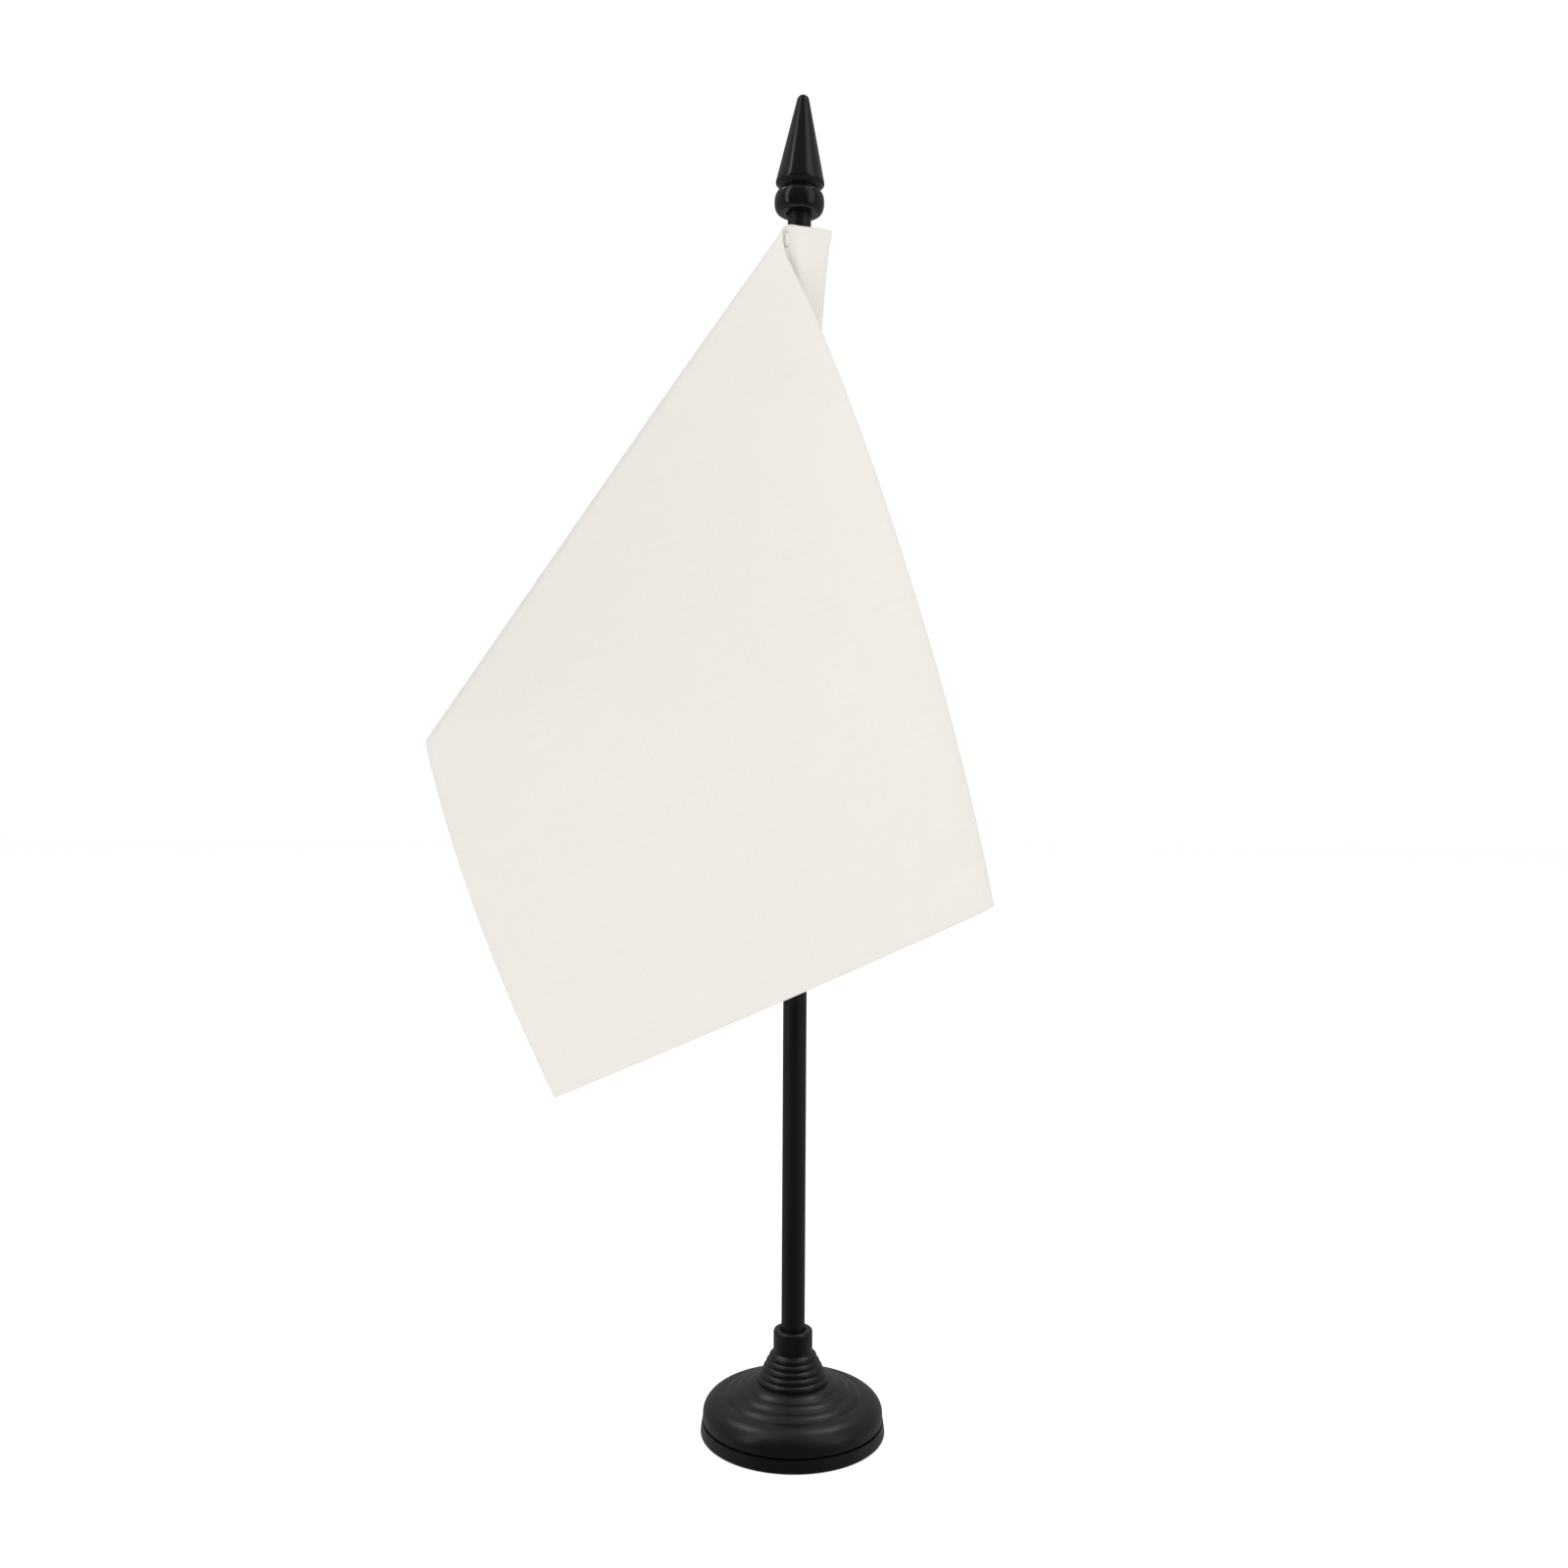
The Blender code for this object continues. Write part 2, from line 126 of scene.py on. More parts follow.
TOP_FLAT_REACH = 60.0 * MM
DROOP = 4.3 * MM  # how far the front layer sags where it leaves the fold's top
DROOP_REACH = 26.0 * MM
ROW_SAMPLES = 801
FLAG_ROWS = 241
BACK_COLUMNS = 12
FOLD_COLUMNS = 30
FRONT_COLUMNS = 58

# Sleeve, and the allowance past its seam.
SLEEVE_REACH = (8.9 * MM, 4.6 * MM)  # to the right of the rod's axis, at the top and far down
SLEEVE_REACH_FADE = 31.0 * MM
SLEEVE_TIP = 0.7 * MM  # radius of the loop's right end
SLEEVE_COLUMNS = 56
BELT_DIRECTIONS = 1441
SLEEVE_DIPS = (0.0, 0.7 * MM, 0.5 * MM, 0.8 * MM, 0.6 * MM, -0.8 * MM, 0.0, 0.0)  # sag of the top edge
SLEEVE_DIP_PLACES = (0.0, 0.12, 0.28, 0.44, 0.50, 0.58, 0.80, 1.0)  # shares of the way round
SLEEVE_DIP_FADE = 12.0 * MM
SLEEVE_CLEARANCE = 0.15 * MM  # between the rod and the cloth round it
ALLOWANCE = 1.2 * MM
ALLOWANCE_COLUMNS = 4
LAYER_SPACING = 0.3 * MM  # between the middles of the two layers that the seam joins

# Cloth and seam.
WEAVE_PITCH = 0.28 * MM
SEALED_EDGE = (0.2 * MM, 0.45 * MM)  # from a cut edge: the end of the sealed strip, and of its fading
NEEDLE_HOLE = (0.15 * MM, 0.55 * MM)  # from a hole's middle: the end of the painted shade spot, and of its fading
CLOTH_TRANSLUCENCY = 0.2  # the share of its light that passes through
STITCH = 4.0 * MM
STITCH_INSET = 0.8 * MM  # how far the needle holes lie past the loop's pinch
STRAND_RADIUS = 0.085 * MM
STRAND_TURNS = 5
STITCH_POINTS = 21
STRAND_SIDES = 6

# Studio: the white that the camera sees, the soft light all round, and what polished surfaces mirror.
WHITE_STRENGTH = 1.05
SOFT_STRENGTH = 0.475
SWEEP_RADIANCE = 0.28
ROOM_RADIANCE = 0.045
CEILING_RADIANCE = 0.09
FLOOR_HALF_WIDTH = 4.0
FLOOR_GLOW = 0.55
FLOOR_DROP = 0.02 * MM  # under the base, so that the two don't share a plane

# Camera.
CAMERA_PLACE = (-3.35 * MM, -390.3 * MM, 178.4 * MM)
CAMERA_ROLL = math.radians(-0.33)
CAMERA_LENS = 32.5  # in millimetres, as Blender has it
CAMERA_SENSOR = 36.0  # in millimetres too


# ---------------------------------------------------------------- materials

def new_material(name):
    """A node material with its Principled shader."""
    made = bpy.data.materials.new(name)
    made.use_nodes = True
    return made, made.node_tree, made.node_tree.nodes["Principled BSDF"]


def add_node(tree, kind, inputs=None, **settings):
    """One node; inputs maps a socket's name or number to a value or to the socket that feeds it."""
    node = tree.nodes.new(kind)
    for key, value in settings.items():
        setattr(node, key, value)
    for key, value in (inputs or {}).items():
        if isinstance(value, bpy.types.NodeSocket):
            tree.links.new(value, node.inputs[key])
        else:
            node.inputs[key].default_value = value
    return node


def math_node(tree, operation, a, b=0.0):
    return add_node(tree, "ShaderNodeMath", {0: a, 1: b}, operation=operation).outputs[0]


def remap(tree, value, low, high, to_low, to_high):
    """value from low..high to to_low..to_high, clamped."""
    node = add_node(tree, "ShaderNodeMapRange", {
        "Value": value, "From Min": low, "From Max": high, "To Min": to_low, "To Max": to_high,
    })
    return node.outputs["Result"]


def blend_colour(tree, share, first, second):
    """The first colour where share is 0, the second where it is 1; each is a value or a socket."""
    node = tree.nodes.new("ShaderNodeMix")
    node.data_type = "RGBA"
    colours = [s for s in node.inputs if s.type == "RGBA"]
    for socket, value in ((node.inputs[0], share), (colours[0], first), (colours[1], second)):
        if isinstance(value, bpy.types.NodeSocket):
            tree.links.new(value, socket)
        else:
            socket.default_value = value
    return next(s for s in node.outputs if s.type == "RGBA")


def object_place(tree):
    return tree.nodes.new("ShaderNodeTexCoord").outputs["Object"]


def noise(tree, place, scale, detail=3.0, roughness=0.55):
    node = add_node(tree, "ShaderNodeTexNoise", {
        "Vector": place, "Scale": scale, "Detail": detail, "Roughness": roughness,
    })
    return node.outputs["Fac"]


def stretched(tree, place, scale):
    return add_node(tree, "ShaderNodeMapping", {"Vector": place, "Scale": scale}).outputs["Vector"]


def bump(tree, height, strength, distance, normal=None):
    inputs = {"Height": height, "Strength": strength, "Distance": distance}
    if normal is not None:
        inputs["Normal"] = normal
    return add_node(tree, "ShaderNodeBump", inputs).outputs["Normal"]


def dust(tree, place, scale, size, share):
    """1 on small specks scattered over the surface, 0 elsewhere."""
    cells = add_node(tree, "ShaderNodeTexVoronoi", {"Vector": place, "Scale": scale})
    near = remap(tree, cells.outputs["Distance"], size, size * 0.6, 0.0, 1.0)
    tint = add_node(tree, "ShaderNodeSeparateColor", {"Color": cells.outputs["Color"]})
    chosen = math_node(tree, "LESS_THAN", tint.outputs[0], share)
    return math_node(tree, "MULTIPLY", near, chosen)


def black_plastic(name, colour, roughness, grain, wear_and_highlight):
    """Moulded black plastic: fine grain, uneven sheen from handling, paler crests that are partly scuffed
    and partly a painted highlight, and dust.
    """
    made, tree, shader = new_material(name)
    place = object_place(tree)
    blotches = noise(tree, place, 55.0, 4.0)
    smears = noise(tree, stretched(tree, place, (1.0, 1.0, 0.25)), 240.0, 5.0, 0.65)
    fine = noise(tree, place, 6200.0, 2.0)
    coarse = noise(tree, place, 1500.0, 2.0)
    crest = add_node(tree, "ShaderNodeAttribute", attribute_name="crest").outputs["Fac"]
    rubbed_and_highlit = math_node(tree, "MULTIPLY", crest, remap(tree, smears, 0.35, 0.65, 0.2, 1.0))
    specks = dust(tree, place, 260.0, 0.055, 0.05)
    lint = dust(tree, stretched(tree, place, (1.0, 1.0, 0.3)), 410.0, 0.05, 0.03)
    dusty = math_node(tree, "MAXIMUM", specks, lint)

    darker = tuple(0.8 * c for c in colour) + (1.0,)
    paler = tuple(1.25 * c for c in colour) + (1.0,)
    body = blend_colour(tree, remap(tree, blotches, 0.3, 0.7, 0.0, 1.0), darker, paler)
    # paler crests: partly scuffing from handling, partly a painted highlight where the convex edges catch
    # the light
    worn_and_highlit = tuple(1.9 * c for c in colour) + (1.0,)
    body = blend_colour(tree, math_node(tree, "MULTIPLY", rubbed_and_highlit, wear_and_highlight), body, worn_and_highlit)
    body = blend_colour(tree, dusty, body, (0.16, 0.155, 0.145, 1.0))
    tree.links.new(body, shader.inputs["Base Color"])

    sheen = remap(tree, smears, 0.3, 0.7, roughness - 0.05, roughness + 0.06)
    sheen = math_node(tree, "SUBTRACT", sheen, math_node(tree, "MULTIPLY", rubbed_and_highlit, 0.06))
    sheen = math_node(tree, "MAXIMUM", sheen, math_node(tree, "MULTIPLY", dusty, 0.9))
    tree.links.new(sheen, shader.inputs["Roughness"])

    height = math_node(tree, "ADD", math_node(tree, "MULTIPLY", fine, 0.4), coarse)
    relief = bump(tree, height, grain, 0.02 * MM)
    tree.links.new(bump(tree, dusty, 0.6, 0.05 * MM, relief), shader.inputs["Normal"])
    return made


def rod_plastic():
    """Drawn black rod: matter than the base, with faint lines along its length."""
    made, tree, shader = new_material("drawn_black_rod")
    place = object_place(tree)
    lines = noise(tree, stretched(tree, place, (1.0, 1.0, 0.012)), 2600.0, 3.0)
    patches = noise(tree, stretched(tree, place, (1.0, 1.0, 0.3)), 90.0, 4.0)
    grain = noise(tree, place, 5200.0, 2.0)
    dusty = dust(tree, place, 330.0, 0.05, 0.04)

    shade = remap(tree, patches, 0.3, 0.7, 0.0, 1.0)
    body = blend_colour(tree, shade, (0.0028, 0.0028, 0.0029, 1.0), (0.0040, 0.0039, 0.0038, 1.0))
    body = blend_colour(tree, dusty, body, (0.14, 0.135, 0.13, 1.0))
    tree.links.new(body, shader.inputs["Base Color"])
    tree.links.new(remap(tree, patches, 0.3, 0.7, 0.36, 0.46), shader.inputs["Roughness"])
    relief = bump(tree, lines, 0.12, 0.02 * MM)
    tree.links.new(bump(tree, grain, 0.1, 0.015 * MM, relief), shader.inputs["Normal"])
    return made


def zinc_steel():
    """The ballast ring: zinc-plated steel, with a crystalline bloom and turning marks."""
    made, tree, shader = new_material("zinc_steel")
    shader.inputs["Metallic"].default_value = 1.0
    place = object_place(tree)
    cells = add_node(tree, "ShaderNodeTexVoronoi", {"Vector": place, "Scale": 420.0})
    tint = add_node(tree, "ShaderNodeSeparateColor", {"Color": cells.outputs["Color"]}).outputs[0]
    marks = add_node(tree, "ShaderNodeTexWave", {
        "Vector": place, "Scale": 1400.0, "Distortion": 1.5, "Detail": 2.0,
    }, wave_type="RINGS", rings_direction="Z").outputs["Fac"]
    body = blend_colour(tree, tint, (0.42, 0.42, 0.43, 1.0), (0.56, 0.56, 0.56, 1.0))
    tree.links.new(body, shader.inputs["Base Color"])
    tree.links.new(remap(tree, tint, 0.0, 1.0, 0.34, 0.5), shader.inputs["Roughness"])
    tree.links.new(bump(tree, marks, 0.15, 0.02 * MM), shader.inputs["Normal"])
    return made


def cloth_coordinates(tree):
    """A point's place on the flat cloth, in metres: the vector, how far along it and how far down it."""
    lie = add_node(tree, "ShaderNodeAttribute", attribute_name="cloth").outputs["Vector"]
    parts = add_node(tree, "ShaderNodeSeparateXYZ", {0: lie})
    return lie, parts.outputs[0], parts.outputs[1]


def plain_weave(tree, along, down, pitch):
    """Height of a plain weave: threads run both ways and take turns to lie on top."""
    a = math_node(tree, "SINE", math_node(tree, "MULTIPLY", along, math.pi / pitch))
    b = math_node(tree, "SINE", math_node(tree, "MULTIPLY", down, math.pi / pitch))
    over = math_node(tree, "GREATER_THAN", math_node(tree, "MULTIPLY", a, b), 0.0)
    weft = math_node(tree, "POWER", math_node(tree, "ABSOLUTE", b), 0.6)
    warp = math_node(tree, "POWER", math_node(tree, "ABSOLUTE", a), 0.6)
    difference = math_node(tree, "SUBTRACT", weft, warp)
    return math_node(tree, "ADD", warp, math_node(tree, "MULTIPLY", over, difference))


def needle_holes(tree, down):
    """1 in the middle of each needle hole of the seam, fading to 0 round it."""
    from_seam = add_node(tree, "ShaderNodeAttribute", attribute_name="from_seam").outputs["Fac"]
    steps = math_node(tree, "DIVIDE", down, STITCH)
    offset = math_node(tree, "SUBTRACT", math_node(tree, "FRACT", steps), 0.5)
    lengthwise = math_node(tree, "MULTIPLY", offset, STITCH)
    across = math_node(tree, "MULTIPLY", from_seam, from_seam)
    squares = math_node(tree, "ADD", across, math_node(tree, "MULTIPLY", lengthwise, lengthwise))
    distance = math_node(tree, "SQRT", squares)
    spot_end, fading_end = NEEDLE_HOLE
    return remap(tree, distance, fading_end, spot_end, 0.0, 1.0)


def flag_cloth_material():
    """Thin off-white polyester: plain weave, uneven threads, edges sealed by heat, painted shade in the
    weave's hollows and the needle holes, and light through it.
    """
    made, tree, shader = new_material("flag_cloth")
    lie, along, down = cloth_coordinates(tree)
    weave = plain_weave(tree, along, down, WEAVE_PITCH)
    weft_lines = noise(tree, stretched(tree, lie, (60.0, 2600.0, 1.0)), 1.0, 3.0)
    warp_lines = noise(tree, stretched(tree, lie, (2600.0, 60.0, 1.0)), 1.0, 3.0)
    slubs = math_node(tree, "ADD", weft_lines, warp_lines)
    drift = noise(tree, stretched(tree, lie, (22.0, 22.0, 1.0)), 1.0, 3.0)

    even = remap(tree, slubs, 0.7, 1.3, 0.0, 1.0)
    body = blend_colour(tree, even, (0.795, 0.772, 0.724, 1.0), (0.832, 0.812, 0.768, 1.0))
    pale = blend_colour(tree, remap(tree, drift, 0.3, 0.7, 0.0, 1.0), body, (0.822, 0.800, 0.754, 1.0))
    body = blend_colour(tree, 0.5, body, pale)
    # painted shade: the colour darkens in the hollows between the woven threads
    threads = remap(tree, weave, 0.1, 0.7, 0.06, 0.0)
    body = blend_colour(tree, threads, body, (0.55, 0.53, 0.48, 1.0))

    from_bottom = math_node(tree, "SUBTRACT", FLAG_HEIGHT, down)
    from_fly = math_node(tree, "SUBTRACT", FLAG_LENGTH, along)
    from_edge = math_node(tree, "MINIMUM", math_node(tree, "MINIMUM", down, from_bottom), from_fly)
    strip_end, fading_end = SEALED_EDGE
    sealed = remap(tree, from_edge, fading_end, strip_end, 0.0, 1.0)
    body = blend_colour(tree, math_node(tree, "MULTIPLY", sealed, 0.35), body, (0.66, 0.63, 0.56, 1.0))
    holes = needle_holes(tree, down)
    # painted shade: the cloth darkens in each needle hole's dimple
    body = blend_colour(tree, math_node(tree, "MULTIPLY", holes, 0.75), body, (0.33, 0.30, 0.24, 1.0))
    tree.links.new(body, shader.inputs["Base Color"])

    rough = remap(tree, even, 0.0, 1.0, 0.82, 0.74)
    rough = math_node(tree, "SUBTRACT", rough, math_node(tree, "MULTIPLY", sealed, 0.3))
    tree.links.new(rough, shader.inputs["Roughness"])
    shader.inputs["Specular IOR Level"].default_value = 0.3
    shader.inputs["Sheen Weight"].default_value = 0.12
    shader.inputs["Sheen Roughness"].default_value = 0.5

    unsealed = math_node(tree, "SUBTRACT", 1.0, sealed)
    relief = bump(tree, math_node(tree, "MULTIPLY", weave, unsealed), 0.25, 0.03 * MM)
    relief = bump(tree, slubs, 0.2, 0.03 * MM, relief)
    relief = bump(tree, math_node(tree, "SUBTRACT", 1.0, holes), 0.5, 0.1 * MM, relief)
    tree.links.new(relief, shader.inputs["Normal"])

    through = add_node(tree, "ShaderNodeBsdfTranslucent", {"Color": body, "Normal": relief})
    both = add_node(tree, "ShaderNodeMixShader", {
        0: CLOTH_TRANSLUCENCY, 1: shader.outputs["BSDF"], 2: through.outputs["BSDF"],
    })
    output = next(n for n in tree.nodes if n.type == "OUTPUT_MATERIAL")
    tree.links.new(both.outputs["Shader"], output.inputs["Surface"])
    return made


def thread_material():
    """Off-white sewing thread, with fine fibres along each strand."""
    made, tree, shader = new_material("sewing_thread")
    place = object_place(tree)
    fibres = noise(tree, stretched(tree, place, (1.0, 1.0, 0.2)), 14000.0, 3.0)
    tone = noise(tree, place, 400.0, 2.0)
    strands = remap(tree, fibres, 0.3, 0.7, 0.0, 1.0)
    body = blend_colour(tree, strands, (0.70, 0.67, 0.60, 1.0), (0.80, 0.78, 0.72, 1.0))
    body = blend_colour(tree, remap(tree, tone, 0.3, 0.7, 0.0, 0.5), body, (0.76, 0.73, 0.66, 1.0))
    tree.links.new(body, shader.inputs["Base Color"])
    tree.links.new(remap(tree, fibres, 0.3, 0.7, 0.55, 0.7), shader.inputs["Roughness"])
    tree.links.new(bump(tree, fibres, 0.3, 0.01 * MM), shader.inputs["Normal"])
    shader.inputs["Sheen Weight"].default_value = 0.2
    return made


def floor_material():
    """Seamless white paper, which glows a little so that it stays white under its dim lights."""
    made, tree, shader = new_material("studio_paper")
    tooth = noise(tree, object_place(tree), 900.0, 4.0)
    body = blend_colour(tree, tooth, (0.93, 0.93, 0.925, 1.0), (0.95, 0.95, 0.945, 1.0))
    tree.links.new(body, shader.inputs["Base Color"])
    tree.links.new(bump(tree, tooth, 0.05, 0.05 * MM), shader.inputs["Normal"])
    shader.inputs["Roughness"].default_value = 0.9
    shader.inputs["Specular IOR Level"].default_value = 0.1
    shader.inputs["Emission Color"].default_value = (1.0, 1.0, 0.995, 1.0)
    shader.inputs["Emission Strength"].default_value = FLOOR_GLOW
    return made


# ---------------------------------------------------------------- meshes

def add_piece(name, points, faces, finish, attributes=None):
    """A smooth-shaded mesh object; attributes maps a name to a value or a vector for each point."""
    mesh = bpy.data.meshes.new(name)
    mesh.from_pydata(np.asarray(points).tolist(), [], faces)
    for key, values in (attributes or {}).items():
        values = np.asarray(values, np.float32)
        kind, slot = ("FLOAT", "value") if values.ndim == 1 else ("FLOAT_VECTOR", "vector")
        mesh.attributes.new(key, kind, "POINT").data.foreach_set(slot, values.ravel())
    mesh.materials.append(finish)
    mesh.shade_smooth()
    mesh.set_sharp_from_angle(angle=SHARP_ANGLE)
    obj = bpy.data.objects.new(name, mesh)
    bpy.context.scene.collection.objects.link(obj)
    return obj


def arc(centre, radius, start, end):
    """(r, z) points of a circular arc, with both ends; angles in degrees from +r towards +z."""
    angles = np.radians(np.linspace(start, end, ARC_STEPS + 1))
    return [(centre[0] + radius * math.cos(a), centre[1] + radius * math.sin(a)) for a in angles]


def rippled(start, end, waves, depth):
    """(r, z) points from start to end, with rounded ridges that stand proud of the straight line."""
    along = np.array(end) - np.array(start)
    outward = np.array([abs(along[1]), abs(along[0])]) / np.hypot(*along)
    points = []
    for t in np.linspace(0.0, 1.0, waves * RIPPLE_STEPS + 1):
        height = depth * abs(math.sin(math.pi * waves * t))
        points.append(tuple(np.array(start) + along * t + outward * height))
    return points


def crests(profile):
    """How strongly the profile bulges outwards at each of its points, from 0 to 1."""
    line = np.array(profile)
    into = np.diff(line, axis=0, prepend=line[:1])
    out = np.diff(line, axis=0, append=line[-1:])
    sizes = np.maximum(np.linalg.norm(into, axis=1) * np.linalg.norm(out, axis=1), 1e-12)
    bend = (into[:, 0] * out[:, 1] - into[:, 1] * out[:, 0]) / sizes
    spread = np.maximum(np.linalg.norm(into, axis=1) + np.linalg.norm(out, axis=1), 1e-6)
    return np.clip(bend / spread * 0.6 * MM, 0.0, 1.0)


def turned(name, profile, segments, finish):
    """A solid of revolution about Z. Its profile is a list of (r, z) points, with the solid on its left."""
    angles = 2 * math.pi * np.arange(segments) / segments
    bulges = crests(profile)
    rings, points, crest = [], [], []
    for (r, z), bulge in zip(profile, bulges):
        count = segments if r > 0 else 1
        rings.append(range(len(points), len(points) + count))
        points += [(r * math.cos(a), r * math.sin(a), z) for a in angles[:count]]
        crest += [bulge] * count
    closed = profile[0][0] > 0
    pairs = list(zip(rings, rings[1:] + rings[:1])) if closed else list(zip(rings, rings[1:]))
    faces = []
    for low, high in pairs:
        for k in range(segments):
            m = (k + 1) % segments
            ends = (low[k % len(low)], low[m % len(low)], high[m % len(high)], high[k % len(high)])
            faces.append(tuple(dict.fromkeys(ends)))
    return add_piece(name, points, faces, finish, {"crest": crest})


def base_cover(finish):
    """The flat cover under the dome, with the ring that locates it inside."""
    low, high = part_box("base_plate")
    inner, outer = LOCATING_RING
    radius = high.x
    profile = [(0.0, low.z)]
    profile += arc((radius - PLATE_EDGE, low.z + PLATE_EDGE), PLATE_EDGE, -90, 0)
    profile += [
        (radius - PLATE_TAPER, PLATE_HEIGHT),
        (outer, PLATE_HEIGHT),
        (outer, high.z),
        (inner, high.z),
        (inner, PLATE_FLOOR),
        (0.0, PLATE_FLOOR),
    ]
    return turned("base_cover", profile, BASE_SEGMENTS, finish)


def dome_outside(radius, bottom, top):
    """(r, z) points of the dome's visible side, from its foot up to the collar's lip."""
    rim = [
        (SHELL_FOOT_RADIUS, bottom),
        (radius, bottom + radius - SHELL_FOOT_RADIUS),
    ]
    width = radius - SHOULDER[0]
    height = SHOULDER[1] - SHOULDER_END
    shoulder = []
    for angle in np.radians(np.linspace(0, 90, SHOULDER_STEPS + 1)):
        shoulder.append((SHOULDER[0] + width * math.cos(angle), SHOULDER_END + height * math.sin(angle)))
    steps = rippled(SHOULDER, NECK_BOTTOM, BROAD_STEPS, BROAD_STEP_DEPTH)
    ridges = rippled(NECK_BOTTOM, NECK_TOP, NECK_RIDGES, NECK_RIDGE_DEPTH)
    collar = [(COLLAR_RADIUS, NECK_TOP[1] + 0.2 * MM)]
    collar += arc((COLLAR_RADIUS - COLLAR_LIP, top - COLLAR_LIP), COLLAR_LIP, 0, 90)
    return rim + shoulder + steps[1:] + ridges[1:] + collar


def base_dome(finish, bore):
    """The moulded dome, hollow from below, with the socket in its collar."""
    low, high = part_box("base_shell")
    radius = high.x
    bottom = PLATE_HEIGHT + DOME_GAP
    wall = SHELL_WALL
    inside = [
        (0.0, low.z),
        (COLLAR_RADIUS, low.z),
        (COLLAR_RADIUS, NECK_BOTTOM[1] - wall),
        (NECK_BOTTOM[0], NECK_BOTTOM[1] - 2 * wall),
        (SHOULDER[0], SHOULDER[1] - wall),
        (radius - 1.6 * wall, SHOULDER_END + wall),
        (radius - wall, SHOULDER_END),
        (radius - wall, bottom),
    ]
    socket = [
        (bore + MOUTH_CHAMFER, high.z),
        (bore, high.z - MOUTH_CHAMFER),
        (bore, SOCKET_FLOOR),
        (0.0, SOCKET_FLOOR),
    ]
    outside = dome_outside(radius, bottom, high.z)
    return turned("base_dome", inside + outside + socket, BASE_SEGMENTS, finish)


def rod(finish):
    """The straight rod, with a chamfer at each end."""
    low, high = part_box("pole")
    radius = high.x
    heights = np.linspace(low.z + POLE_CHAMFER, high.z - POLE_CHAMFER, ROD_STEPS + 1)
    profile = [(0.0, low.z), (radius - POLE_CHAMFER, low.z)]
    profile += [(radius, z) for z in heights]
    profile += [(radius - POLE_CHAMFER, high.z), (0.0, high.z)]
    return turned("rod", profile, SLIM_SEGMENTS, finish)


def finial_spike(finish, bore, rod_top):
    """Bead, groove and cone; the bore runs down from its closed end, so the profile starts inside."""
    bead = []
    half = BEAD_MIDDLE - FINIAL_BOTTOM
    for angle in np.radians(np.linspace(-90, 65, BEAD_STEPS + 1)):
        reach = bore + (BEAD_RADIUS - bore) * math.cos(angle) ** BEAD_SQUARENESS
        bead.append((reach, BEAD_MIDDLE + half * math.sin(angle)))
    foot = arc((CONE_RADIUS - CONE_CORNER, CONE_FOOT), CONE_CORNER, -60, 10)
    tip = arc((0.0, TIP_TOP - TIP_RADIUS), TIP_RADIUS, 12, 90)
    profile = [
        (0.0, rod_top + GAP),
        (bore, rod_top + GAP),
        (bore, FINIAL_BOTTOM),
    ]
    cone_start, cone_end = np.array(foot[-1]), np.array(tip[0])
    shares = np.linspace(0, 1, CONE_STEPS + 1)[1:-1]
    side = [tuple(cone_start + (cone_end - cone_start) * t) for t in shares]
    profile += bead[1:] + [GROOVE] + foot + side + tip[:-1] + [(0.0, TIP_TOP)]
    spike = turned("finial_spike", profile, SLIM_SEGMENTS, finish)
    middle_of_bore = Matrix.Translation((0.0, 0.0, (FINIAL_BOTTOM + rod_top) / 2))
    lean = Matrix.Rotation(FINIAL_LEAN, 4, "Y")
    spike.data.transform(middle_of_bore @ lean @ middle_of_bore.inverted())
    return spike


# ---------------------------------------------------------------- flag

def smooth_step(t):
    """From 0 to 1 as t does, level at both ends."""
    t = np.clip(t, 0.0, 1.0)
    return t * t * (3.0 - 2.0 * t)


def eased(places, knots, values):
    """Values between knots, with a level start and end to each stretch."""
    after = np.clip(np.searchsorted(knots, places, side="right"), 1, len(knots) - 1)
    knots, values = np.array(knots), np.array(values)
    share = smooth_step((places - knots[after - 1]) / (knots[after] - knots[after - 1]))
    return values[after - 1] + (values[after] - values[after - 1]) * share


def stations(to_fold):
    """Distances along a row, set so that the fold falls in the same columns of every row."""
    half = FOLD_HALF_WIDTH / math.cos(FOLD_SLOPE)
    fold_in = max(to_fold - half, FOLD_START)
    fold_out = to_fold + half
    seam = np.linspace(0.0, ALLOWANCE, ALLOWANCE_COLUMNS, endpoint=False)
    back = np.linspace(ALLOWANCE, fold_in, BACK_COLUMNS, endpoint=False)
    fold = np.linspace(fold_in, fold_out, FOLD_COLUMNS, endpoint=False)
    front = np.linspace(fold_out, FLAG_LENGTH, FRONT_COLUMNS + 1)
    return np.concatenate([seam, back, fold, front])


